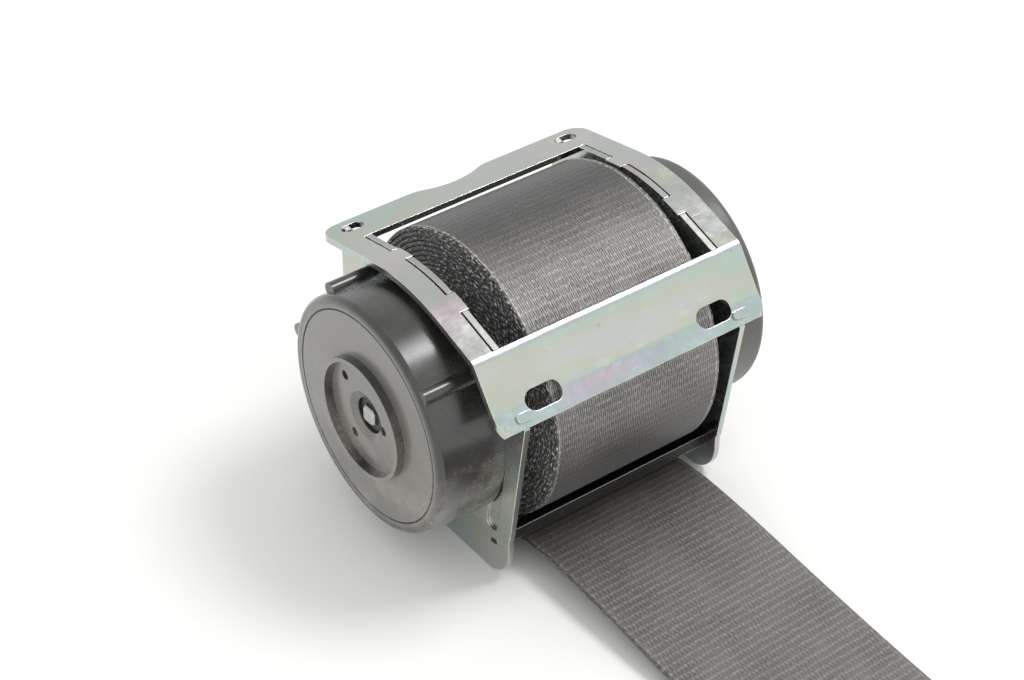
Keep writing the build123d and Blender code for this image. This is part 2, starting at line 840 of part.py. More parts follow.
with BuildPart() as lock_base:
    with BuildSketch() as base_plate:
        Circle(base_outer_radius)
        with Locations((sensor_plate_middle, -lock_cover_radius)):
            Rectangle(sensor_plate_width, lock_cover_radius)
        with BuildSketch(mode=Mode.INTERSECT):
            Circle(base_outer_radius)
            with Locations((sensor_plate_middle, -lock_cover_radius)):
                Rectangle(sensor_plate_width, 2 * lock_cover_radius)
            Circle(sensor_plate_reach, mode=Mode.INTERSECT)
        Circle(base_inner_radius, mode=Mode.SUBTRACT)
    slab(base_start, base_end, base_plate.sketch)
    for place in base_rivet_places:
        slug(base_start, base_end, rivet_radius + seat_fit, place, Mode.SUBTRACT)
    with BuildSketch() as floor:
        with Locations((0, floor_top - floor_thickness / 2)):
            Rectangle(2 * floor_half_width, floor_thickness)
    slab(base_end, ball_x + cup_radius, floor.sketch)
    with BuildSketch() as ear:
        with Locations(lever_pivot):
            Circle(ear_radius)
        with Locations((lever_pivot[0], lever_pivot[1] - ear_foot / 2)):
            Rectangle(2 * ear_radius, ear_foot)
    with BuildSketch() as ear_bridge:
        with Locations((lever_pivot[0], lever_pivot[1] - ear_foot + ear_thickness / 2)):
            Rectangle(2 * ear_radius, ear_thickness)
    for x_start in ear_starts:
        slab(x_start, x_start + ear_thickness, ear.sketch)
    slab(base_end, pin_end, ear_bridge.sketch)
    slug(ear_starts[0], pin_end, lever_pin_radius + seat_fit, lever_pivot, Mode.SUBTRACT)
    with BuildSketch(Plane(origin=(axis_x + ball_x, axis_y, axis_z + floor_top))) as cup_hole:
        Circle(spigot_radius + seat_fit)
    extrude(cup_hole.sketch, amount=-floor_thickness, mode=Mode.SUBTRACT)
save(lock_base.part, "lock_base")

with BuildPart() as base_rivets:
    for place in base_rivet_places:
        slug(side_in - rivet_head_thickness, side_in - seat_fit, rivet_head_radius, place)
        slug(side_in - seat_fit, base_end + seat_fit, rivet_radius, place)
        slug(base_end + seat_fit, base_end + rivet_head_thickness, rivet_head_radius, place)
save(base_rivets.part, "base_rivets")

with BuildPart() as sensor_cup:
    cup_axis = Axis((axis_x + ball_x, axis_y, 0), (0, 0, 1))
    rise = tan(radians(cup_slope))
    cup_mouth = cup_radius - cup_lip
    wall_gap = cup_gap / cos(radians(cup_slope))
    seat_height = cup_seat - contact_radius * rise - wall_gap
    with BuildSketch(Plane(lengthwise.origin + (ball_x, 0, 0), x_dir=(1, 0, 0), z_dir=(0, -1, 0))):
        with BuildLine():
            Polyline(
                (0, floor_top - floor_thickness),
                (spigot_radius, floor_top - floor_thickness),
                (spigot_radius, floor_top + seat_fit),
                (cup_radius, floor_top + seat_fit),
                (cup_radius, seat_height + cup_mouth * rise),
                (cup_mouth, seat_height + cup_mouth * rise),
                (cup_lip, seat_height + cup_lip * rise),
                (0, seat_height + cup_lip * rise),
                close=True,
            )
        make_face()
    revolve(axis=cup_axis)
save(sensor_cup.part, "sensor_cup")

with BuildPart() as sensor_ball:
    with Locations((axis_x + ball_x, axis_y, axis_z + ball_z)):
        Sphere(ball_radius)
save(sensor_ball.part, "sensor_ball")

with BuildPart() as sensor_lever:
    lever_under = lever_pivot[1] - lever_thickness / 2
    with BuildSketch() as lever_side:
        with Locations(lever_pivot):
            Circle(lever_boss_radius)
        with BuildLine():
            Polyline(
                (lever_pivot[0], lever_under),
                (lever_nose_y + lever_nose_width / 2, lever_under),
                (lever_nose_y + lever_nose_width / 2, lever_nose_top - lever_nose_width / 2),
                (lever_nose_y - lever_nose_width / 2, lever_nose_top),
                (lever_nose_y - lever_nose_width / 2, lever_under + lever_thickness),
                (lever_pivot[0], lever_under + lever_thickness),
                close=True,
            )
        make_face()
    slab(lever_start, lever_end, lever_side.sketch)
    slug(lever_start, lever_end, lever_pin_radius + running_fit, lever_pivot, Mode.SUBTRACT)
save(sensor_lever.part, "sensor_lever")

with BuildPart() as sensor_lever_pin:
    slug(ear_starts[0], pin_end, lever_pin_radius, lever_pivot)
save(sensor_lever_pin.part, "sensor_lever_pin")

with BuildPart() as lock_cover:
    slug(base_start, lock_face, lock_cover_radius)
    fillet(lock_cover.edges().group_by(Axis.X)[-1], lock_cover_round)
    slug(base_start, lock_face - cover_wall, lock_cover_radius - cover_wall, mode=Mode.SUBTRACT)
    slug(lock_face - cover_wall - bearing_length, lock_face - cover_wall, bearing_boss_radius)
    bearing_depth = lock_face - cover_wall
    slug(bearing_depth - bearing_length, bearing_depth, shaft_radius + running_fit, mode=Mode.SUBTRACT)
    for place in lock_pegs:
        slug(base_start, lock_face - cover_wall, peg_radius, place)
        slug(side_out - peg_length, base_start, peg_radius, place)
save(lock_cover.part, "lock_cover")

# Free webbing, with its end sewn round the bar of the anchor
tail_points = [(axis_x, axis_y + back, height) for back, height in tail_route]


def bend_radius(before, corner, after):
    """The largest arc that two straight runs leave room for."""
    run_in, run_out = Vector(*corner) - Vector(*before), Vector(*after) - Vector(*corner)
    half_turn = radians(run_in.get_angle(run_out) / 2)
    return arc_share * min(run_in.length, run_out.length) / tan(half_turn)


tail_radii = [bend_radius(*tail_points[i : i + 3]) for i in range(len(tail_points) - 2)]
print("webbing bend radii", [round(radius) for radius in tail_radii])

with BuildPart() as webbing_tail:
    with BuildLine() as tail_line:
        FilletPolyline(*tail_points, radius=tail_radii)
    with BuildSketch(Plane(origin=tail_line.line @ 0, x_dir=(1, 0, 0), z_dir=tail_line.line % 0)):
        Rectangle(webbing_width, webbing_thickness)
    sweep()
save(webbing_tail.part, "webbing_tail")
tail_length = tail_line.wire().length
tail_section = webbing_width * webbing_thickness
print("webbing length", round(tail_length, 1), "volume", round(webbing_tail.part.volume / tail_section, 1))

sewn_start = tail_route[-1][0] - seat_fit
sewn_under = tail_route[-1][1] - webbing_thickness / 2
loop_reach = webbing_thickness + loop_gap
bar_back = sewn_start - stitched_length - loop_reach
bar_middle = (bar_back - anchor_bar / 2, sewn_under + loop_reach + anchor_thickness / 2)
bar_under = bar_middle[1] - anchor_thickness / 2
slot_front = bar_back - anchor_bar - anchor_slot_width
joggle_back = slot_front - joggle_start
anchor_width = webbing_width + 2 * anchor_cheek
anchor_slot_length = webbing_width + 2 * anchor_slot_margin
anchor_front = bar_back - anchor_length



def on_the_ground(x):
    """The plane square to the spool axis at x, with its v measured from the ground."""
    return Plane(origin=(axis_x + x, axis_y, 0), x_dir=(0, 1, 0), z_dir=(1, 0, 0))


with BuildPart() as webbing_end_loop:
    with BuildSketch(on_the_ground(-webbing_width / 2)):
        with Locations(bar_middle):
            RectangleRounded(anchor_bar + 2 * loop_reach, anchor_thickness + 2 * loop_reach, loop_round)
        with Locations((sewn_start - stitched_length / 2 - loop_reach / 2, sewn_under + webbing_thickness)):
            Rectangle(stitched_length + loop_reach, 2 * webbing_thickness)
        with Locations(bar_middle):
            Rectangle(anchor_bar + 2 * loop_gap, anchor_thickness + 2 * loop_gap, mode=Mode.SUBTRACT)
    extrude(amount=webbing_width)
save(webbing_end_loop.part, "webbing_end_loop")

with BuildPart() as end_anchor_plate:
    with BuildSketch(on_the_ground(-anchor_width / 2)):
        with BuildLine():
            Polyline(
                (bar_back, bar_under),
                (bar_back, bar_under + anchor_thickness),
                (joggle_back, bar_under + anchor_thickness),
                (joggle_back - joggle_run, anchor_thickness),
                (anchor_front, anchor_thickness),
                (anchor_front, 0),
                (joggle_back - joggle_run, 0),
                (joggle_back, bar_under),
                close=True,
            )
        make_face()
    extrude(amount=anchor_width)
    with BuildSketch(Plane(origin=(axis_x, axis_y, 0))) as anchor_plan:
        half_wide, half_narrow = anchor_width / 2, anchor_nose_width / 2
        with BuildLine():
            Polyline(
                (half_wide, bar_back),
                (half_wide, slot_front),
                (half_narrow, anchor_front),
                (-half_narrow, anchor_front),
                (-half_wide, slot_front),
                (-half_wide, bar_back),
                close=True,
            )
        make_face()
        fillet(anchor_plan.vertices().group_by(Axis.Y)[0], anchor_corner)
        fillet(anchor_plan.vertices().group_by(Axis.Y)[-1], anchor_back_corner)
    extrude(anchor_plan.sketch, amount=4 * anchor_thickness, mode=Mode.INTERSECT)
    with BuildSketch(Plane(origin=(axis_x, axis_y, 0))) as anchor_cuts:
        with Locations((0, slot_front + anchor_slot_width / 2)):
            RectangleRounded(anchor_slot_length, anchor_slot_width, anchor_slot_corner)
        with Locations((0, anchor_front + anchor_hole_edge)):
            Circle(anchor_hole_radius)
    extrude(anchor_cuts.sketch, amount=4 * anchor_thickness, mode=Mode.SUBTRACT)
save(end_anchor_plate.part, "end_anchor_plate")

print("axis", round(axis_x, 3), round(axis_y, 3), round(axis_z, 3))
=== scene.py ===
"""The looks of the seat belt retractor: webbing, metal, plastics, stage, light and camera.

Lengths are in metres, or in millimetres times MM. X runs along the spool axis, -Y is the side
where the webbing comes out, and +Z is up. On the webbing, U is the distance round the strap's
outline from one edge, below zero on the lower side, and V is the distance along the strap.
"""

import json
from math import cos, pi, radians, sin

import bmesh
import bpy
import numpy as np
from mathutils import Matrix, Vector


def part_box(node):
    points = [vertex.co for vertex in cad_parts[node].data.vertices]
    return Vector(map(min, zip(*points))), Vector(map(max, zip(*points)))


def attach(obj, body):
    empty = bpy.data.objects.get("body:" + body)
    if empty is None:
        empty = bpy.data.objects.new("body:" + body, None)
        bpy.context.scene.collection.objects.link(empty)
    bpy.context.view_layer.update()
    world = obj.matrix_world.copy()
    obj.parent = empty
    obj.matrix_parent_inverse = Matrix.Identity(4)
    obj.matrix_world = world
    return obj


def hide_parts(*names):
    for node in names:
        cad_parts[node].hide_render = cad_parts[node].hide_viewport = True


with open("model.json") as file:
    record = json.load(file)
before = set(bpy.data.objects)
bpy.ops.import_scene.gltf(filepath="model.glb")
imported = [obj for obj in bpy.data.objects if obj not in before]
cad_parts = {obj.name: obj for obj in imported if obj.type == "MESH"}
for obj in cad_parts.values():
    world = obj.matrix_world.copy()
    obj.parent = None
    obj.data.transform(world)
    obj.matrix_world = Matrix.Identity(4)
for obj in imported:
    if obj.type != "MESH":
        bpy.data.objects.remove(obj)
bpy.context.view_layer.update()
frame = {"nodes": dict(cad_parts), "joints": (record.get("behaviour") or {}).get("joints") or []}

MM = 0.001

# Webbing
WIDTH = 48.0 * MM
THICKNESS = 1.15 * MM
EDGE_ROUNDING = 0.5 * MM
ROUND_REACH = 48.57 * MM  # half the way round the strap's section, over its rounded edges
SELVEDGE = 1.1 * MM
RIB_PITCH = 2.0 * MM
RIB_HEIGHT = 0.02 * MM
RIB_FADE = 0.5 * MM  # the ribs end this gently beside the selvedge
BUMP_PITCH = 1.07 * MM
CORD_PITCH = 0.56 * MM
STATION = 0.4 * MM  # the step between sections along the free webbing
FINE_COLUMNS = 60
COARSE_COLUMNS = 8
# Columns close to the edge, as gaps to it in shares of half the width
EDGE_COLUMNS = (0.0, 0.0012, 0.0045, 0.010, 0.018, 0.027)

# The route of the free webbing's middle line, in millimetres: distance behind the spool axis, and height
TAIL_ROUTE = [
    (-9.6, 2.17),
    (-27.4, 6.95),
    (-50.5, 6.3),
    (-81.0, 3.2),
    (-115.0, 0.95),
    (-152.0, 0.62),
    (-192.0, 0.95),
    (-232.0, 0.62),
    (-270.0, 0.8),
]

# Sewn end: the webbing runs under the anchor's bar, round it, and back as a lap on itself
SEWN_LENGTH = 32.0 * MM
LOOP_GAP = 0.05 * MM  # between the webbing and the bar
LOOP_RUN_IN = 3.0 * MM  # the free webbing settles to the floor over this
TURN_CLEAR = 1.0 * MM  # the level runs stop this far from the turn
LOOP_RUN_OUT = 5.0 * MM  # the upper run's end, from the turn
LAP_RAMP = 11.0 * MM  # the lap's start, from the turn
LAP_GAP = 0.02 * MM
LAP_STEP_BACK = 1.0 * MM
LAP_POINTS = 8
CORD_POINT_STEP = 20

# Sewing thread: rows along the lap, and one across at each end
STITCH_LENGTH = 2.7 * MM
STITCH_PITCH = 3.1 * MM
STITCH_WIDTH = 0.5 * MM
STITCH_HEIGHT = 0.22 * MM
STITCH_SINK = 0.15 * MM
STITCH_TOP = 0.6  # the top's share of the width
# A thread's outlines, as shares of its length and of its thickness
STITCH_RINGS = ((-0.5, 0.25), (-0.34, 1.0), (0.34, 1.0), (0.5, 0.25))
ROW_COUNT = 11
ROW_PITCH = 4.0 * MM
END_ROW_INSET = 2.5 * MM
START_ROW_INSET = 1.5 * MM

# Roll
OUTER_RADIUS = 36.4 * MM
LAYER_PITCH = 1.2 * MM
LEAVE_ANGLE = radians(255.0)  # where the roll's outer end lies
STEP_SHARE = 0.12  # the share of a turn over which it steps in by a layer
FINE_TURNS = 1.15  # the outer turns that show, and are drawn finer
STATIONS_PER_TURN = 560
ROLL_DRIFT = 0.2 * MM  # how far the turns stray sideways
DRIFT_PERIODS = (0.31, 0.17, 0.083, 0.041, 0.019)
DRIFT_SEED = 3

# Painted light and shade on the cloth, as (length, level) factors on its colour: from the frame's exit, a
# painted shadow where the tie bar shades the strap, and from the roll's start, a painted dark top, lit front
# and shaded lower front
PAINTED_SHADE_REACH = 0.25
FLAT_PAINTED_SHADOW = [(0.0, 0.24), (0.022, 0.55), (0.045, 1.0)]
WOUND_PAINTED_LIGHT_AND_SHADE = [(0.106, 0.10), (0.122, 0.2), (0.141, 0.9), (0.157, 1.0), (0.170, 0.75), (0.187, 0.2)]

# Colours that the materials mix in
DIRT = (0.20, 0.15, 0.11)
RUST = (0.42, 0.23, 0.10)
DUST = (0.50, 0.45, 0.38)
WORN_AND_HIGHLIT_EDGE = (0.96, 0.97, 0.95)
SHEARED_METAL = (0.43, 0.43, 0.42)
SCUFFED_PLASTIC = (0.4, 0.4, 0.4)
GLINT = (0.52, 0.50, 0.46)
BINDING_THREAD = (0.62, 0.58, 0.49)
PASSIVATION_HUES = [
    (0.00, (0.88, 0.90, 0.87)),
    (0.14, (0.88, 0.88, 0.74)),
    (0.28, (0.77, 0.90, 0.78)),
    (0.42, (0.74, 0.91, 0.88)),
    (0.56, (0.82, 0.84, 0.97)),
    (0.70, (0.98, 0.80, 0.88)),
    (0.84, (0.92, 0.88, 0.87)),
    (1.00, (0.88, 0.90, 0.87)),
]

# The spring cover's matt face ends at the first radius and looks rounded off to the second
COVER_SHOULDER = (26.8 * MM, 29.8 * MM)
SHOULDER_FADE = 1.2 * MM

# Stage
FLOOR_REACH = 6.0
FLOOR_COLOURS = [(0.0, (0.955, 0.95, 0.93)), (1.0, (0.965, 0.96, 0.94))]
HORIZON_COLOURS = [(0.0, (1.15, 1.15, 1.15)), (0.5, (0.87, 0.87, 0.87)), (1.0, (0.87, 0.87, 0.87))]
OVERHEAD_COLOUR = (0.76, 0.76, 0.76)
CAMERA_PLACE = Vector((-277.45, -363.84, 395.1)) * MM
CAMERA_LOOK = Vector((0.4724, 0.6324, -0.6139))
CAMERA_LENS = 86.02

joints = {joint["name"]: joint for joint in frame["joints"]}
AXIS = Vector(joints["spool_spin"]["pos_m"])
LAMP_TARGET = Vector((AXIS.x, AXIS.y, 0.03))
roll_low, roll_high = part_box("webbing_roll")
core_low, core_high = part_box("spool_core")


# Node helpers


def new_material(name):
    """An empty node material with its main shader."""
    material = bpy.data.materials.new(name)
    material.use_nodes = True
    return material, material.node_tree, material.node_tree.nodes["Principled BSDF"]


def put(tree, kind, inputs=(), **settings):
    """Adds a node, sets its properties, and sets or links its inputs by name or number."""
    node = tree.nodes.new(kind)
    for key, value in settings.items():
        setattr(node, key, value)
    for key, value in dict(inputs).items():
        if isinstance(value, bpy.types.NodeSocket):
            tree.links.new(value, node.inputs[key])
        else:
            node.inputs[key].default_value = value
    return node


def maths(tree, operation, first, second=0.0):
    """One Math node's result."""
    return put(tree, "ShaderNodeMath", {0: first, 1: second}, operation=operation).outputs[0]


def total(tree, first, *others):
    """The sum of two or more values."""
    for other in others:
        first = maths(tree, "ADD", first, other)
    return first


def product(tree, first, *others):
    """The product of two or more values."""
    for other in others:
        first = maths(tree, "MULTIPLY", first, other)
    return first


def vectors(tree, operation, first, second=(0.0, 0.0, 0.0), result="Vector"):
    """One Vector Math node's result."""
    return put(tree, "ShaderNodeVectorMath", {0: first, 1: second}, operation=operation).outputs[result]


def part_of(tree, vector, axis):
    """One component of a vector."""
    return put(tree, "ShaderNodeSeparateXYZ", {0: vector}).outputs[axis]


def noise(tree, vector, scale, detail=3.0, roughness=0.5, stretch=None):
    """Soft noise in 0 to 1, with about this many patches a metre, times the stretch on each axis."""
    if stretch:
        vector = put(tree, "ShaderNodeMapping", {"Vector": vector, "Scale": stretch}).outputs[0]
    inputs = {"Vector": vector, "Scale": scale, "Detail": detail, "Roughness": roughness}
    return put(tree, "ShaderNodeTexNoise", inputs).outputs["Fac"]


def span(tree, value, low, high, to_low=0.0, to_high=1.0):
    """A value moved from one range to another, and held inside it."""
    inputs = {"Value": value, "From Min": low, "From Max": high, "To Min": to_low, "To Max": to_high}
    return put(tree, "ShaderNodeMapRange", inputs).outputs["Result"]


def wave(tree, value, pitch, shift=0.0):
    """A sine of this pitch, in 0 to 1."""
    turned = total(tree, product(tree, value, 2 * pi / pitch), shift)
    return total(tree, product(tree, maths(tree, "SINE", turned), 0.5), 0.5)


def scaled(colour, level):
    """A colour made paler or darker."""
    return [level * channel for channel in colour]


def blend_colours(tree, share, first, second, mode="MIX"):
    """Two colours mixed by a share."""
    node = put(tree, "ShaderNodeMix", data_type="RGBA", blend_type=mode)
    for socket, value in ((0, share), (6, first), (7, second)):
        if isinstance(value, bpy.types.NodeSocket):
            tree.links.new(value, node.inputs[socket])
        elif socket:
            node.inputs[socket].default_value = (*value, 1.0)
        else:
            node.inputs[socket].default_value = value
    return node.outputs[2]


def ramp(tree, value, stops):
    """A colour ramp from (place, colour) stops."""
    node = put(tree, "ShaderNodeValToRGB", {"Fac": value})
    elements = node.color_ramp.elements
    while len(elements) < len(stops):
        elements.new(0.5)
    for element, (place, colour) in zip(elements, stops):
        element.position = place
        element.color = (*colour, 1.0)
    return node.outputs["Color"]


def raise_surface(tree, height, strength, depth, normal=None):
    """A bump from a height in 0 to 1."""
    inputs = {"Height": height, "Strength": strength, "Distance": depth}
    if normal:
        inputs["Normal"] = normal
    return put(tree, "ShaderNodeBump", inputs).outputs["Normal"]


def edge_share(tree, radius):
    """How near a point lies to a sharp edge, in 0 to 1, and the rounded normal there."""
    rounded = put(tree, "ShaderNodeBevel", {"Radius": radius}, samples=6).outputs["Normal"]
    flat = put(tree, "ShaderNodeNewGeometry").outputs["Normal"]
    alike = vectors(tree, "DOT_PRODUCT", rounded, flat, "Value")
    return span(tree, alike, 0.995, 0.85), rounded


# Materials


def metal(name, base, roughness, tint=0.0, edge_light=0.3, grime=0.3, stain=0.0, sheared=0.0):
    """Plated or plain steel: cloudy colour, scratches, dents, flakes, bright edges, dirt and rust. The bright
    edges are partly wear and partly a painted highlight.

    Tint is the share of the plating's rainbow, whose hue drifts over a face and changes from one
    face to the next. Faces that look up can be greyer and rougher, as a sheared edge is.
    """
    material, tree, shader = new_material(name)
    coordinates = put(tree, "ShaderNodeTexCoord").outputs
    place = coordinates["Object"]
    upward = part_of(tree, coordinates["Normal"], "Z")
    clouds = noise(tree, place, 55.0, 3.0, 0.55)
    colour = blend_colours(tree, span(tree, clouds, 0.35, 0.7), base, scaled(base, 0.78))
    if tint:
        drift = noise(tree, place, 26.0, 3.0, 0.5, (0.4, 1.7, 1.7))
        hue = maths(tree, "FRACT", total(tree, product(tree, drift, 2.6), product(tree, upward, 1.7)))
        film = blend_colours(tree, 1.0, scaled(base, 1.12), ramp(tree, hue, PASSIVATION_HUES), "MULTIPLY")
        colour = blend_colours(tree, tint, colour, film)
    cut = 0.0
    if sheared:
        cut = product(tree, span(tree, upward, 0.8, 0.9), sheared)
        colour = blend_colours(tree, cut, colour, SHEARED_METAL)
    pits = noise(tree, place, 330.0, 4.0, 0.65)
    colour = blend_colours(tree, product(tree, span(tree, pits, 0.68, 0.76), grime), colour, DIRT)
    flakes = span(tree, noise(tree, place, 170.0, 6.0, 0.7), 0.60, 0.66)
    colour = blend_colours(tree, product(tree, flakes, 0.4 * grime), colour, scaled(base, 1.55))
    # Bright edges: partly worn metal, partly a painted highlight along the edges
    edge, rounded = edge_share(tree, 0.3 * MM)
    colour = blend_colours(tree, product(tree, edge, edge_light), colour, WORN_AND_HIGHLIT_EDGE)
    if stain:
        rusty = product(tree, span(tree, noise(tree, place, 75.0, 4.0, 0.7), 0.53, 0.62), edge, stain)
        colour = blend_colours(tree, rusty, colour, RUST)
    tree.links.new(colour, shader.inputs["Base Color"])
    shader.inputs["Metallic"].default_value = 1.0
    lines = noise(tree, place, 1.0, 2.0, 0.6, (160.0, 3200.0, 3200.0))
    scratches = span(tree, lines, 0.66, 0.74)
    worn = total(tree, clouds, pits, product(tree, scratches, 0.4), cut)
    tree.links.new(span(tree, worn, 0.7, 1.5, roughness - 0.08, roughness + 0.14), shader.inputs["Roughness"])
    dents = noise(tree, place, 110.0, 3.0, 0.55)
    fine = noise(tree, place, 1400.0, 2.0, 0.6)
    surface = raise_surface(tree, dents, 0.5, 0.4 * MM, rounded)
    surface = raise_surface(tree, maths(tree, "SUBTRACT", fine, scratches), 0.10, 0.03 * MM, surface)
    surface = raise_surface(tree, pits, 0.22, 0.06 * MM, surface)
    tree.links.new(surface, shader.inputs["Normal"])
    return material


def plastic(name, base, roughness, dust=0.1, coat=0.0, grain=0.15, matt=None, shoulder=None):
    """Moulded plastic: flow marks, fine grain, scuffs, and dust that lies thicker low down.

    With a matt colour its end faces are matt up to the shoulder's first radius about the spool
    axis. From there to the second radius they are glossy, and their normal leans outward.
    """
    material, tree, shader = new_material(name)
    coordinates = put(tree, "ShaderNodeTexCoord").outputs
    place = coordinates["Object"]
    patches = noise(tree, place, 90.0, 4.0, 0.6)
    colour = blend_colours(tree, noise(tree, place, 60.0, 3.0, 0.5), base, scaled(base, 1.3))
    edge, rounded = edge_share(tree, 0.25 * MM)
    end_face = 0.0
    if matt:
        end_face = span(tree, maths(tree, "ABSOLUTE", part_of(tree, coordinates["Normal"], "X")), 0.75, 0.97)
        radial = vectors(tree, "MULTIPLY", vectors(tree, "SUBTRACT", place, tuple(AXIS)), (0.0, 1.0, 1.0))
        radius = vectors(tree, "LENGTH", radial, result="Value")
        lean = product(tree, span(tree, radius, *shoulder, 0.0, 1.3), end_face)
        outward = vectors(tree, "MULTIPLY", vectors(tree, "NORMALIZE", radial), lean)
        rounded = vectors(tree, "NORMALIZE", vectors(tree, "ADD", rounded, outward))
        inside = span(tree, radius, shoulder[0] + SHOULDER_FADE, shoulder[0])
        end_face = product(tree, end_face, inside)
        colour = blend_colours(tree, end_face, colour, matt)
    low_down = span(tree, part_of(tree, place, "Z"), 0.05, 0.012, 0.1, 1.0)
    dusty = product(tree, span(tree, patches, 0.42, 0.62), low_down)
    specks = span(tree, noise(tree, place, 2800.0, 2.0, 0.5), 0.61, 0.67)
    settled = product(tree, specks, dusty, dust)
    colour = blend_colours(tree, total(tree, product(tree, dusty, 0.3 * dust), settled), colour, DUST)
    colour = blend_colours(tree, product(tree, edge, 0.10), colour, SCUFFED_PLASTIC)
    tree.links.new(colour, shader.inputs["Base Color"])
    scuffs = span(tree, noise(tree, place, 1.0, 2.0, 0.6, (900.0, 120.0, 900.0)), 0.64, 0.74)
    worn = total(tree, patches, settled, product(tree, scuffs, 0.3), product(tree, end_face, 0.5))
    tree.links.new(span(tree, worn, 0.35, 1.5, roughness - 0.06, roughness + 0.3), shader.inputs["Roughness"])
    shader.inputs["Specular IOR Level"].default_value = 0.45
    shader.inputs["Coat Weight"].default_value = coat
    shader.inputs["Coat Roughness"].default_value = 0.2
    fine = noise(tree, place, 2600.0, 2.0, 0.5)
    tree.links.new(raise_surface(tree, fine, grain, 0.03 * MM, rounded), shader.inputs["Normal"])
    return material


def woven(name, dark, light, rows, cords, knit, binding, painted_light_and_shade):
    """Seat belt webbing: rows of small bumps across, fine cords along, painted glints, and a knitted edge.
    Painted shade darkens the weave's hollows, and painted light and shade follows the strap's length.
    """
    material, tree, shader = new_material(name)
    cloth_place = put(tree, "ShaderNodeUVMap", uv_map="cloth").outputs[0]
    across = maths(tree, "ABSOLUTE", part_of(tree, cloth_place, "X"))
    along = part_of(tree, cloth_place, "Y")

    # Weave: every other row of bumps is shifted by half a bump, and the cords sway a little
    stray = noise(tree, cloth_place, 380.0, 2.0, 0.5)
    wobble = product(tree, maths(tree, "SUBTRACT", stray, 0.5), 3.0)
    fibres = noise(tree, cloth_place, 1.0, 2.0, 0.6, (4200.0, 900.0, 1.0))
    rib = maths(tree, "POWER", wave(tree, along, RIB_PITCH, wobble), 4.0)
    rib = product(tree, rib, span(tree, fibres, 0.3, 0.7, 0.15, 1.2))
    other_row = wave(tree, along, 2 * RIB_PITCH, product(tree, wobble, 0.5))
    bump = wave(tree, across, BUMP_PITCH, product(tree, maths(tree, "GREATER_THAN", other_row, 0.5), pi))
    row = product(tree, rib, total(tree, product(tree, bump, 0.75), 0.25))
    sway = total(tree, across, product(tree, stray, 0.25 * MM))
    cord = maths(tree, "POWER", wave(tree, sway, CORD_PITCH), 1.4)
    hollow = product(tree, maths(tree, "SUBTRACT", 1.0, rib), maths(tree, "SUBTRACT", 1.0, bump))
    loose = product(tree, maths(tree, "SUBTRACT", fibres, 0.5), 1.3)
    weave = total(tree, product(tree, row, rows), product(tree, cord, cords), 0.25 * rows, loose)
    weave = total(tree, weave, product(tree, hollow, -0.6 * rows))
    # The colour follows the weave's height: painted shade in the hollows, painted light on the crests
    cloth = ramp(tree, weave, [(0.0, dark), (0.9, light)])
    # Painted glints: pale dashes along the fibres stand for highlights, and the same noise darkens other
    # spots
    glints = noise(tree, cloth_place, 1.0, 1.0, 0.5, (2600.0, 300.0, 1.0))
    cloth = blend_colours(tree, span(tree, glints, 0.76, 0.81, 0.0, 0.75), cloth, GLINT)
    cloth = blend_colours(tree, span(tree, glints, 0.25, 0.20, 0.0, 0.8), cloth, scaled(dark, 0.4))
    worn = noise(tree, cloth_place, 75.0, 3.0, 0.6)
    cloth = blend_colours(tree, span(tree, worn, 0.35, 0.75, 0.0, 0.2), cloth, scaled(light, 1.2))
    # Painted light and shade along the length: the cloth colour is multiplied by the level table
    levels = [(length / PAINTED_SHADE_REACH, (level,) * 3) for length, level in painted_light_and_shade]
    shade = ramp(tree, maths(tree, "DIVIDE", along, PAINTED_SHADE_REACH), levels)
    cloth = blend_colours(tree, 1.0, cloth, shade, "MULTIPLY")

    # Knitted edge: short bright stitches along the strap on a dark ground, and pale threads that bind it
    edge_gap = maths(tree, "MINIMUM", across, maths(tree, "SUBTRACT", ROUND_REACH, across))
    border = span(tree, edge_gap, SELVEDGE, 0.5 * SELVEDGE)
    loops = noise(tree, cloth_place, 1.0, 2.0, 0.55, (3000.0, 850.0, 1.0))
    stitches = span(tree, loops, 0.48, 0.63)
    colour = blend_colours(tree, border, cloth, ramp(tree, stitches, knit))
    off_seam = maths(tree, "ABSOLUTE", maths(tree, "SUBTRACT", edge_gap, 1.15 * SELVEDGE))
    thread = product(tree, span(tree, off_seam, 0.3 * MM, 0.12 * MM), span(tree, loops, 0.42, 0.6), binding)
    colour = blend_colours(tree, thread, colour, BINDING_THREAD)

    tree.links.new(colour, shader.inputs["Base Color"])
    shader.inputs["Roughness"].default_value = 0.42
    shader.inputs["Specular IOR Level"].default_value = 0.65
    shader.inputs["Sheen Weight"].default_value = 0.15
    shader.inputs["Sheen Roughness"].default_value = 0.45
    height = put(tree, "ShaderNodeMix", {0: border, 2: weave, 3: stitches}).outputs[0]
    tree.links.new(raise_surface(tree, height, 0.6, 0.14 * MM), shader.inputs["Normal"])
    return material


zinc = metal("zinc_passivated", (0.52, 0.54, 0.528), 0.23, tint=0.8, edge_light=0.7, stain=0.9)
plate_zinc = metal("zinc_plate", (0.52, 0.53, 0.52), 0.23, tint=0.8, edge_light=0.7, stain=0.9, sheared=0.9)
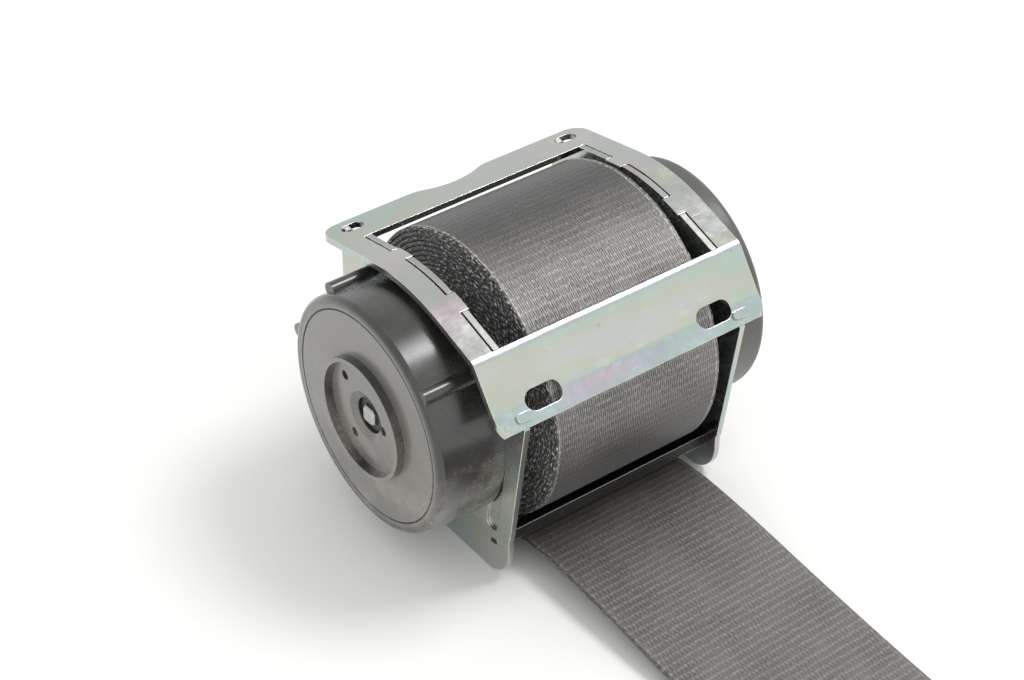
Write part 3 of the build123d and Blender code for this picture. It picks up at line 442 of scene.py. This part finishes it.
# The front tie bar's near-black colour is painted shade from the roll above it
dull_steel_painted_shade = metal("dull_steel_painted_shade", (0.055, 0.052, 0.05), 0.42, edge_light=0.7, grime=0.6)
aged_steel = metal("aged_steel", (0.34, 0.32, 0.29), 0.42, edge_light=0.5, grime=0.8)
worn_steel = metal("worn_steel", (0.52, 0.52, 0.50), 0.36, edge_light=0.8, grime=0.8)
bare_steel = metal("bare_steel", (0.66, 0.66, 0.65), 0.26, edge_light=0.35)
spring_steel = metal("spring_steel", (0.30, 0.32, 0.36), 0.3)
cast_zinc = metal("cast_zinc", (0.55, 0.55, 0.54), 0.45)
black_plastic = plastic(
    "black_plastic",
    (0.017, 0.0165, 0.015),
    0.27,
    dust=1.0,
    coat=1.0,
    matt=(0.142, 0.139, 0.122),
    shoulder=COVER_SHOULDER,
)
grey_plastic = plastic("grey_plastic", (0.075, 0.074, 0.07), 0.45, dust=0.5, coat=0.15)
spool_plastic = plastic("spool_plastic", (0.05, 0.05, 0.05), 0.45)
pale_plastic = plastic("pale_plastic", (0.72, 0.70, 0.64), 0.42, dust=0.0)
sewing_thread = plastic("sewing_thread", (0.11, 0.105, 0.098), 0.6, grain=0.6)
flat_cloth = woven(
    "webbing_flat",
    (0.055, 0.051, 0.047),
    (0.285, 0.27, 0.252),
    rows=0.55,
    cords=0.42,
    knit=[(0.0, (0.05, 0.047, 0.043)), (0.5, (0.12, 0.114, 0.106)), (1.0, (0.26, 0.25, 0.235))],
    binding=0.2,
    painted_light_and_shade=FLAT_PAINTED_SHADOW,
)
# The roll's copy of the webbing is paler than the free strap's as painted light, and its level table paints
# the roll's shade
wound_cloth = woven(
    "webbing_wound",
    (0.033, 0.031, 0.03),
    (0.60, 0.573, 0.545),
    rows=0.3,
    cords=0.5,
    knit=[(0.0, (0.010, 0.010, 0.011)), (0.45, (0.035, 0.033, 0.034)), (1.0, (0.62, 0.60, 0.57))],
    binding=0.75,
    painted_light_and_shade=WOUND_PAINTED_LIGHT_AND_SHADE,
)

node_materials = {
    "top_plate": zinc,
    "left_side_plate": plate_zinc,
    "right_side_plate": plate_zinc,
    "front_tie_bar": dull_steel_painted_shade,
    "rear_tie_bar": aged_steel,
    "base_rivets": zinc,
    "end_anchor_plate": zinc,
    "spring_cover": black_plastic,
    "spring_base": black_plastic,
    "lock_cover": grey_plastic,
    "spool_core": spool_plastic,
    "spring_arbor": spool_plastic,
    "left_bush": pale_plastic,
    "control_disc": pale_plastic,
    "lock_base": pale_plastic,
    "sensor_cup": pale_plastic,
    "sensor_lever": pale_plastic,
    "spool_shaft": worn_steel,
    "webbing_pin": bare_steel,
    "pawl_pin": bare_steel,
    "sensor_lever_pin": bare_steel,
    "lock_pawl": bare_steel,
    "sensor_ball": bare_steel,
    "mainspring": spring_steel,
    "spool_head": cast_zinc,
    "inertia_ring": cast_zinc,
}
for node_name, material in node_materials.items():
    slots = frame["nodes"][node_name].data.materials
    slots.clear()
    slots.append(material)


# Webbing meshes


def places_across(columns):
    """Places across the webbing from edge to edge, closer together near the edges."""
    edge = [WIDTH / 2 * (1 - gap) for gap in EDGE_COLUMNS]
    inner = np.linspace(-edge[-1], edge[-1], columns)[1:-1]
    return np.array([-place for place in edge] + list(inner) + edge[::-1])


def half_thickness(across):
    """Half the webbing's thickness, which rounds off at both edges."""
    gap = WIDTH / 2 - np.abs(across)
    share = np.clip(1 - gap / EDGE_ROUNDING, 0, 1)
    return THICKNESS / 2 * np.sqrt(1 - share**2)


def round_reach(across):
    """The distance along the upper outline of the strap's section, from its first edge."""
    steps = np.hypot(np.diff(across), np.diff(half_thickness(across)))
    return np.concatenate([[0], np.cumsum(steps)])


def ribbon(name, line, normals, lengths, across, cloth, wander=0.0):
    """A closed strap along a middle line of points, which may wander sideways."""
    sections, count = len(line), len(across)

    # Each section runs along the upper side from edge to edge, and back along the lower side
    inner = np.clip((WIDTH / 2 - SELVEDGE - np.abs(across)) / RIB_FADE, 0, 1)
    rib = RIB_HEIGHT / 2 * np.sin(2 * pi * lengths[:, None] / RIB_PITCH) * inner[None, :]
    lift = normals[:, None, :] * (half_thickness(across)[None, :] + rib)[:, :, None]
    side = np.zeros((sections, count, 3))
    side[:, :, 0] = across[None, :] + (np.zeros(sections) + wander)[:, None]
    middle = line[:, None, :] + side
    loop = np.concatenate([middle + lift, (middle - lift)[:, -2:0:-1]], axis=1)

    # Faces between the sections, and one at each end
    around = loop.shape[1]
    first = np.arange(sections - 1)[:, None] * around
    column = np.arange(around)
    following = (column + 1) % around
    quads = [first + column, first + around + column, first + around + following, first + following]
    quads = np.stack(quads, axis=-1).reshape(-1, 4)
    ends = [list(range(around))[::-1], list(range((sections - 1) * around, sections * around))]
    mesh = bpy.data.meshes.new(name)
    mesh.from_pydata(loop.reshape(-1, 3).tolist(), [], quads.tolist() + ends)

    # UV: the lower side mirrors the upper one, with U below zero
    corner = np.zeros(len(mesh.loops), np.int64)
    mesh.loops.foreach_get("vertex_index", corner)
    column = corner % around
    mirrored = np.where(column < count, column, 2 * (count - 1) - column)
    face_of = np.repeat(np.arange(len(mesh.polygons)), [len(face.vertices) for face in mesh.polygons])
    below = (face_of % around >= count - 1) & (face_of < len(quads))
    round_strap = round_reach(across)[mirrored] * np.where(below, -1, 1)
    uv = np.stack([round_strap, lengths[corner // around]], axis=-1)
    mesh.uv_layers.new(name="cloth").data.foreach_set("uv", uv.astype(np.float32).ravel())

    mesh.polygons.foreach_set("use_smooth", [True] * len(mesh.polygons))
    mesh.validate()
    mesh.update()
    piece = bpy.data.objects.new(name, mesh)
    bpy.context.scene.collection.objects.link(piece)
    mesh.materials.append(cloth)
    return piece


def add_stitches(piece, places, material):
    """Sews short threads into a piece's mesh: each place is a thread's middle and the way it runs."""
    mesh = piece.data
    mesh.materials.append(material)
    sewn = bmesh.new()
    sewn.from_mesh(mesh)
    up = Vector((0, 0, 1))
    for middle, way in places:
        across = way.cross(up)
        rings = []
        for reach, size in STITCH_RINGS:
            spot = middle + way * (reach * STITCH_LENGTH)
            half = across * (STITCH_WIDTH * size / 2)
            low = up * -STITCH_SINK
            high = up * (STITCH_HEIGHT * size - STITCH_SINK * (1 - size))
            top = half * STITCH_TOP
            corners = [spot - half + low, spot - top + high, spot + top + high, spot + half + low]
            rings.append([sewn.verts.new(corner) for corner in corners])
        faces = [rings[0][::-1], rings[-1]]
        for first, second in zip(rings, rings[1:]):
            faces += [[first[i - 1], first[i], second[i], second[i - 1]] for i in range(4)]
        for corners in faces:
            face = sewn.faces.new(corners)
            face.material_index = 1
            face.smooth = True
    sewn.to_mesh(mesh)
    sewn.free()


def spline_points(name, points, step):
    """Points at an even step along a smooth spline that has these control points."""
    curve = bpy.data.curves.new(name, "CURVE")
    curve.dimensions = "3D"
    spline = curve.splines.new("NURBS")
    spline.points.add(len(points) - 1)
    for control, point in zip(spline.points, points):
        control.co = (*point, 1.0)
    spline.order_u = 3
    spline.use_endpoint_u = True
    spline.resolution_u = 48
    holder = bpy.data.objects.new(name, curve)
    mesh = bpy.data.meshes.new_from_object(holder)
    fine = np.array([vertex.co for vertex in mesh.vertices])
    bpy.data.objects.remove(holder)
    bpy.data.meshes.remove(mesh)
    return even_points(fine, step)


def even_points(points, step):
    """The same line with its points at an even step, and the length up to each."""
    runs = np.linalg.norm(np.diff(points, axis=0), axis=1)
    reach = np.concatenate([[0], np.cumsum(runs)])
    lengths = np.linspace(0, reach[-1], max(2, round(reach[-1] / step)))
    line = np.stack([np.interp(lengths, reach, points[:, axis]) for axis in range(3)], axis=-1)
    return line, lengths


def normals_of(line):
    """The webbing's upper side along a line that stays in a plane square to X."""
    tangent = np.gradient(line, axis=0)
    normals = np.cross(np.array([1.0, 0.0, 0.0]), tangent)
    normals *= np.sign(normals[0, 2]) or 1
    return normals / np.linalg.norm(normals, axis=1)[:, None]


def waver(lengths, size, seed):
    """A slow random sideways drift along a length."""
    chance = np.random.default_rng(seed)
    drift = np.zeros(len(lengths))
    for period in DRIFT_PERIODS:
        drift += chance.uniform(0.4, 1.0) * np.sin(2 * pi * (lengths / period + chance.random()))
    return size * drift / (len(DRIFT_PERIODS) / 2)


# Free webbing, and its end sewn round the anchor's bar
tail_control = [(AXIS.x, AXIS.y + back * MM, height * MM) for back, height in TAIL_ROUTE]
tail_line, tail_lengths = spline_points("tail_route", tail_control, STATION)


def end_loop_points():
    """The middle line of the sewn end: under the anchor's bar, round it, and back as a lap on itself."""
    loop_low, loop_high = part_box("webbing_end_loop")
    bar_low = loop_low.z + THICKNESS + LOOP_GAP
    bar_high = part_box("end_anchor_plate")[1].z
    bar_middle = (bar_low + bar_high) / 2
    half = THICKNESS / 2
    radius = (loop_high.z - loop_low.z) / 2 - half
    turn_y = loop_low.y + radius + half
    under = loop_low.z + half
    over = loop_high.z - half
    back_y = tail_line[-1][1]
    lap = under + THICKNESS + LAP_GAP

    lower_run = np.linspace(back_y - LOOP_RUN_IN, turn_y + TURN_CLEAR, 12)
    angles = np.linspace(-pi / 2, -3 * pi / 2, 14)
    upper_run = np.linspace(turn_y + TURN_CLEAR, turn_y + LOOP_RUN_OUT, 4)
    lap_run = np.linspace(turn_y + LAP_RAMP, back_y - LAP_STEP_BACK, LAP_POINTS)
    points = [(AXIS.x, back_y, tail_line[-1][2])]
    points += [(AXIS.x, y, under) for y in lower_run]
    points += [(AXIS.x, turn_y + radius * cos(angle), bar_middle + radius * sin(angle)) for angle in angles]
    points += [(AXIS.x, y, over) for y in upper_run]
    points += [(AXIS.x, y, lap) for y in lap_run]
    return np.array(points)


def stitch_places(lap):
    """Where the threads lie on the lap: rows along it, and a row across near each of its ends."""
    top = lap[-1][2] + THICKNESS / 2
    far, near = lap[-1][1] - END_ROW_INSET, lap[0][1] + START_ROW_INSET
    rows = (np.arange(ROW_COUNT) - (ROW_COUNT - 1) / 2) * ROW_PITCH
    along = np.arange(near + STITCH_PITCH, far - STITCH_PITCH / 2, STITCH_PITCH)
    places = [(Vector((AXIS.x + x, y, top)), Vector((0, 1, 0))) for x in rows for y in along]
    reach = ROW_PITCH * (ROW_COUNT - 1) / 2
    across = np.arange(-reach + STITCH_PITCH / 2, reach, STITCH_PITCH)
    places += [(Vector((AXIS.x + x, y, top)), Vector((1, 0, 0))) for x in across for y in (near, far)]
    return places


end_points = end_loop_points()
sewn_line = even_points(end_points, STATION)[0]
strap_line, strap_lengths = even_points(np.concatenate([tail_line, sewn_line[1:]]), STATION)
strap_normals = normals_of(strap_line)
fine_places = places_across(FINE_COLUMNS)
free_webbing = ribbon("webbing_strap", strap_line, strap_normals, strap_lengths, fine_places, flat_cloth)
add_stitches(free_webbing, stitch_places(end_points[-LAP_POINTS:]), sewing_thread)
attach(free_webbing, "frame")
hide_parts("webbing_tail", "webbing_end_loop")

# The cord: along the free webbing, and then the sewn end's length straight on to the anchor
straight_reach = [tuple(point) for point in tail_line[::CORD_POINT_STEP]]
straight_reach.append((AXIS.x, tail_line[-1][1] - SEWN_LENGTH, tail_line[-1][2]))

# The roll: one long spiral from its outer end inward
core_radius = (core_high.y - core_low.y) / 2
roll_middle = (roll_low.x + roll_high.x) / 2
outer_middle = OUTER_RADIUS - THICKNESS / 2
turns = 1 + (outer_middle - core_radius - THICKNESS / 2) / LAYER_PITCH


def spiral(from_turn, to_turn, name, across):
    """Part of the roll, between two counts of turns. Each turn but the first steps in at its start."""
    turn = np.linspace(from_turn, to_turn, int((to_turn - from_turn) * STATIONS_PER_TURN))
    share = np.clip((turn % 1) / STEP_SHARE, 0, 1)
    layers = np.where(turn < 1, 0, np.floor(turn) - 1 + share * share * (3 - 2 * share))
    angle = LEAVE_ANGLE + 2 * pi * turn
    radius = outer_middle - LAYER_PITCH * layers
    outward = np.stack([np.zeros_like(turn), np.cos(angle), np.sin(angle)], axis=-1)
    line = np.array([roll_middle, AXIS.y, AXIS.z]) + outward * radius[:, None]
    lengths = np.concatenate([[0], np.cumsum(np.linalg.norm(np.diff(line, axis=0), axis=1))])
    drift = waver(lengths, ROLL_DRIFT, DRIFT_SEED)
    piece = ribbon(name, line, outward, lengths, across, wound_cloth, drift)
    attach(piece, "spool")
    return piece


outer_turn = spiral(0.0, FINE_TURNS, "webbing_roll_outer", fine_places)
spiral(FINE_TURNS, turns, "webbing_roll_inner", places_across(COARSE_COLUMNS))
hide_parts("webbing_roll")

# Floor
floor_material, tree, shader = new_material("floor_paint")
mottle = noise(tree, put(tree, "ShaderNodeTexCoord").outputs["Object"], 6.0, 2.0, 0.5)
tree.links.new(ramp(tree, mottle, FLOOR_COLOURS), shader.inputs["Base Color"])
shader.inputs["Roughness"].default_value = 0.9
floor_mesh = bpy.data.meshes.new("floor")
corners = [(x * FLOOR_REACH, y * FLOOR_REACH, 0) for x, y in ((-1, -1), (1, -1), (1, 1), (-1, 1))]
floor_mesh.from_pydata(corners, [], [(0, 1, 2, 3)])
floor_mesh.materials.append(floor_material)
floor = bpy.data.objects.new("floor", floor_mesh)
bpy.context.scene.collection.objects.link(floor)

# World: a pale dome, brighter on the side that the webbing comes out of and darker overhead
world = bpy.data.worlds.new("studio")
bpy.context.scene.world = world
world.use_nodes = True
sky = world.node_tree
direction = put(sky, "ShaderNodeTexCoord").outputs["Generated"]
ring = ramp(sky, span(sky, part_of(sky, direction, "Y"), -0.8, 0.8), HORIZON_COLOURS)
dome = blend_colours(sky, span(sky, part_of(sky, direction, "Z"), 0.35, 0.95), ring, OVERHEAD_COLOUR)
sky.links.new(dome, sky.nodes["Background"].inputs["Color"])


def lamp(name, place, size, power):
    """A square soft box that looks at the retractor."""
    data = bpy.data.lights.new(name, "AREA")
    data.size = size
    data.energy = power
    box = bpy.data.objects.new(name, data)
    box.location = place
    box.rotation_euler = (LAMP_TARGET - Vector(place)).to_track_quat("-Z", "Y").to_euler()
    bpy.context.scene.collection.objects.link(box)


lamp("key_light", (0.54, -0.21, 1.02), 0.4, 5.4)
lamp("side_light", (0.95, 0.55, 0.6), 0.5, 0.6)

# Camera, at the photograph's place and lens
camera_data = bpy.data.cameras.new("camera")
camera_data.lens = CAMERA_LENS
camera_data.sensor_width = 36.0
camera_data.sensor_fit = "HORIZONTAL"
camera_data.clip_start = 0.01
camera = bpy.data.objects.new("camera", camera_data)
camera.location = CAMERA_PLACE
camera.rotation_euler = CAMERA_LOOK.to_track_quat("-Z", "Y").to_euler()
bpy.context.scene.collection.objects.link(camera)
bpy.context.scene.camera = camera
bpy.context.scene.view_settings.view_transform = "Standard"
